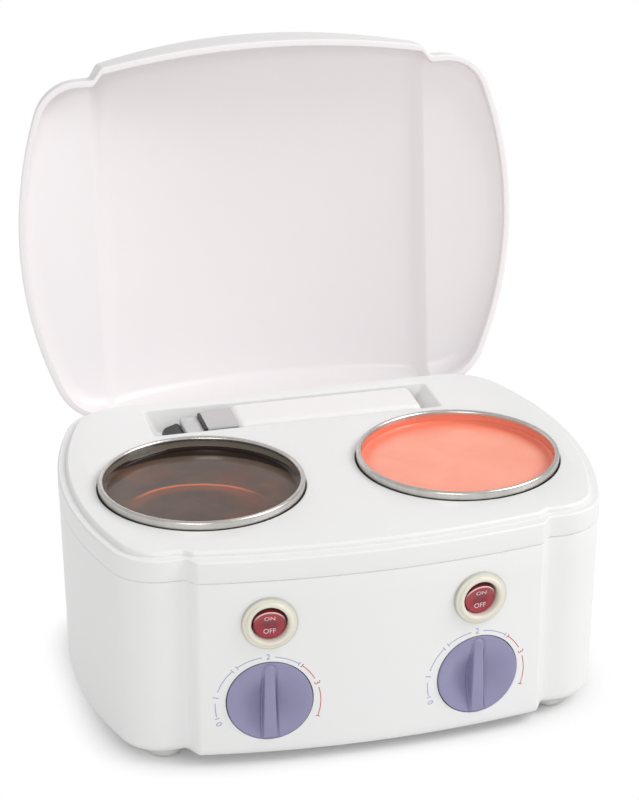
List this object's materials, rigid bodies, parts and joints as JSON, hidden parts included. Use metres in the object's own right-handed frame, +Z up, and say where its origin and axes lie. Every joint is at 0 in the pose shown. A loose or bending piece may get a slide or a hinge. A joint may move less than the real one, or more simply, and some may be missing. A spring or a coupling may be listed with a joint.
{
  "type": "double wax warmer",
  "caption": "Twin-well wax warmer with lift-out cans, rocker switches, dial knobs, a tray with a roller wand and a hinged lid.",
  "frame": {"origin": "on the plane that the feet stand on, under the widest line of the body, midway between its bowed sides", "axes": "+Z up, -Y to the front with the controls, +X to the right as seen from the front"},
  "size_m": [0.2598, 0.2586, 0.2895],
  "materials": {
    "body": "satin white moulded ABS",
    "lid": "satin white moulded ABS",
    "steel": "satin",
    "tinplate": "bright rolled tinplate",
    "aluminium": "spun, satin",
    "heater": "silicone heater mat",
    "black": "glossy",
    "dark": "matt",
    "amber_wax": "glossy translucent amber resin",
    "pink_wax": "glossy pink cream wax",
    "handle": "satin white",
    "neck": "satin grey",
    "bezel": "cream, glossy",
    "rocker": "translucent red, glossy",
    "lamp": "neon lamp",
    "knob": "satin violet grey",
    "insulator": "ivory moulding",
    "thermostat": "phenolic",
    "brass": "turned",
    "foot": "off-white rubber"
  },
  "bodies": {
    "base": {"base_tub": "body", "top_deck": "body", "left_hinge_pin": "steel", "right_hinge_pin": "steel", "left_well": "aluminium", "right_well": "aluminium", "left_heater_band": "heater", "right_heater_band": "heater", "left_heat_shield": "steel", "right_heat_shield": "steel", "left_thermal_cutout": "dark", "right_thermal_cutout": "dark", "left_bezel": "bezel", "right_bezel": "bezel", "left_switch_body": "dark", "right_switch_body": "dark", "left_switch_nut": "dark", "right_switch_nut": "dark", "left_neon_lamp": "lamp", "right_neon_lamp": "lamp", "left_thermostat": "thermostat", "right_thermostat": "thermostat", "left_thermostat_nut": "steel", "right_thermostat_nut": "steel", "terminal_block": "insulator", "cord_bush": "body", "cord_clamp": "insulator", "front_left_foot": "foot", "front_right_foot": "foot", "rear_left_foot": "foot", "rear_right_foot": "foot", "housing_screws": "steel", "foot_screws": "steel", "well_screws": "steel", "clamp_screws": "steel", "terminal_screws": "steel"},
    "lid": {"lid": "lid"},
    "left_can": {"left_can": "tinplate", "amber_wax": "amber_wax"},
    "right_can": {"right_can": "tinplate", "pink_wax": "pink_wax"},
    "wand": {"wand_handle": "handle", "wand_collar": "steel", "wand_neck": "neck", "wand_tip": "black"},
    "left_rocker": {"left_rocker": "rocker"},
    "right_rocker": {"right_rocker": "rocker"},
    "left_knob": {"left_knob": "knob", "left_shaft": "brass"},
    "right_knob": {"right_knob": "knob", "right_shaft": "brass"}
  },
  "joints": [
    {"name": "lid_hinge", "type": "hinge", "parent": "base", "child": "lid", "pos_m": [0, 0.0941, 0.1014], "axis": [-1, 0, 0], "range_deg": [-96.3, 0]},
    {"name": "left_can_lift", "type": "slide", "parent": "base", "child": "left_can", "axis": [0, 0, 1], "range_m": [0, 0.09]},
    {"name": "right_can_lift", "type": "slide", "parent": "base", "child": "right_can", "axis": [0, 0, 1], "range_m": [0, 0.09]},
    {"name": "wand_lift", "type": "slide", "parent": "base", "child": "wand", "axis": [0, 0, 1], "range_m": [0, 0.04]},
    {"name": "left_switch", "type": "hinge", "parent": "base", "child": "left_rocker", "pos_m": [-0.05058, -0.09069, 0.076], "axis": [0.9938, -0.111, 0], "range_deg": [-22, 0]},
    {"name": "left_knob_turn", "type": "hinge", "parent": "base", "child": "left_knob", "pos_m": [-0.0508, -0.09232, 0.0347], "axis": [0.111, 0.9938, 0], "range_deg": [-105, 110]},
    {"name": "right_switch", "type": "hinge", "parent": "base", "child": "right_rocker", "pos_m": [0.05058, -0.09069, 0.076], "axis": [0.9938, 0.111, 0], "range_deg": [-22, 0]},
    {"name": "right_knob_turn", "type": "hinge", "parent": "base", "child": "right_knob", "pos_m": [0.0508, -0.09232, 0.0347], "axis": [-0.111, 0.9938, 0], "range_deg": [-105, 110]}
  ]
}
